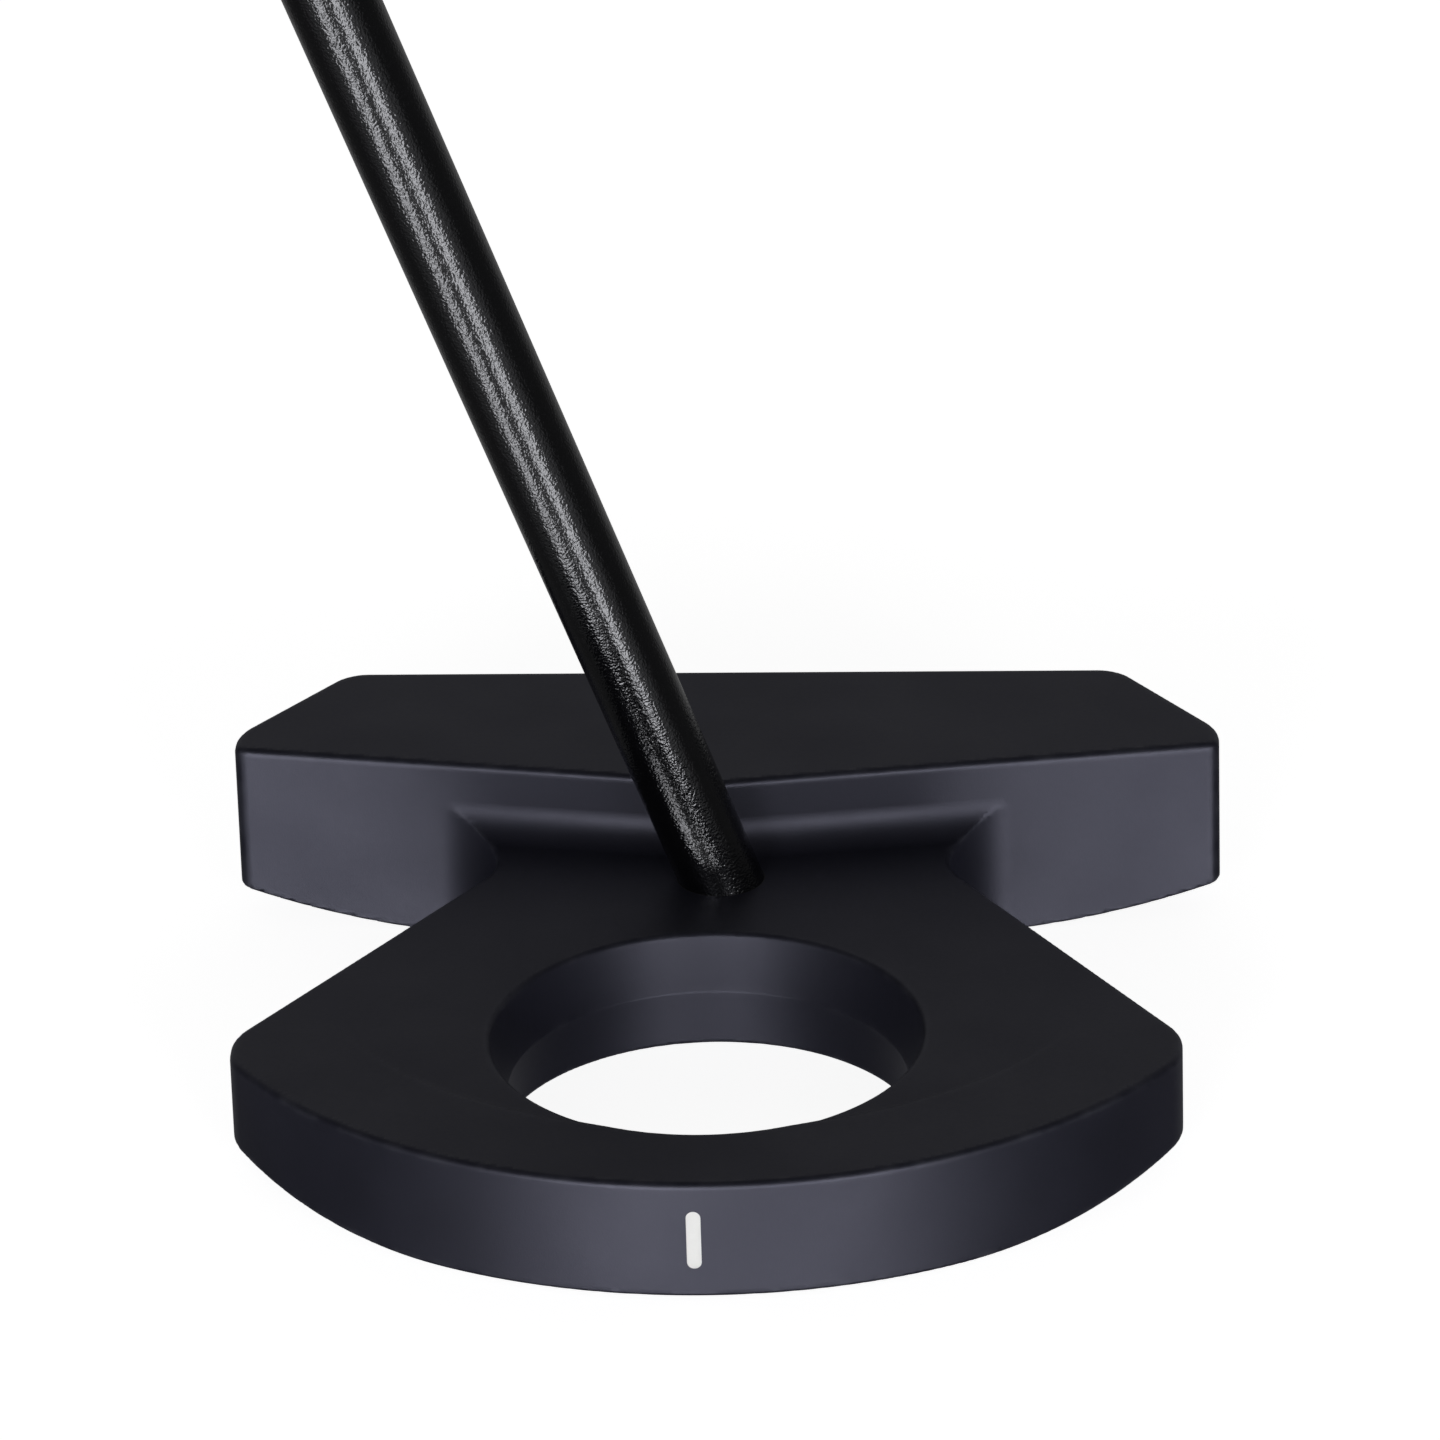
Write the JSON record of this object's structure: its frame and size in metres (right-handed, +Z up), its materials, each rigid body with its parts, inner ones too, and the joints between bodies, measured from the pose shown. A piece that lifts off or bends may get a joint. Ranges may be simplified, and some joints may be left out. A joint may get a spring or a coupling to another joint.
{
  "type": "mallet putter",
  "caption": "Centre-shafted mallet putter: wide bar behind the face, round-backed rear body with a through hole, leaning tapered black shaft and a flat-fronted foam grip.",
  "frame": {"origin": "on the flat of the sole, straight below the point where the shaft axis enters the head", "axes": "+Y is the target line out of the face, +X points to the toe, +Z is up with the sole flat on the ground; the shaft leans 20.2 degrees from +Z towards -X, the golfer"},
  "size_m": [0.3532, 0.1123, 0.7909],
  "materials": {
    "anodised_black": "satin",
    "insert_steel": "satin",
    "bonding": "matte",
    "white_fill": "satin",
    "weight_steel": "satin",
    "shaft_black": "satin",
    "tip_plug": "matte",
    "grip_tape": "matte",
    "grip_foam": "matte",
    "grip_skin": "matte",
    "grip_rubber": "matte"
  },
  "bodies": {
    "root": {"head_body": "anodised_black", "face_insert": "insert_steel", "face_insert_tape": "bonding", "sight_mark": "white_fill", "weight_heel_1": "weight_steel", "weight_heel_2": "weight_steel", "weight_heel_3": "weight_steel", "weight_heel_4": "weight_steel", "weight_toe_1": "weight_steel", "weight_toe_2": "weight_steel", "weight_toe_3": "weight_steel", "weight_toe_4": "weight_steel", "shaft": "shaft_black", "shaft_bond": "bonding", "shaft_tip_plug": "tip_plug", "grip_tape": "grip_tape", "grip_core": "grip_foam", "grip_skin": "grip_skin", "grip_collar": "grip_rubber", "grip_cap": "grip_rubber"}
  },
  "joints": []
}
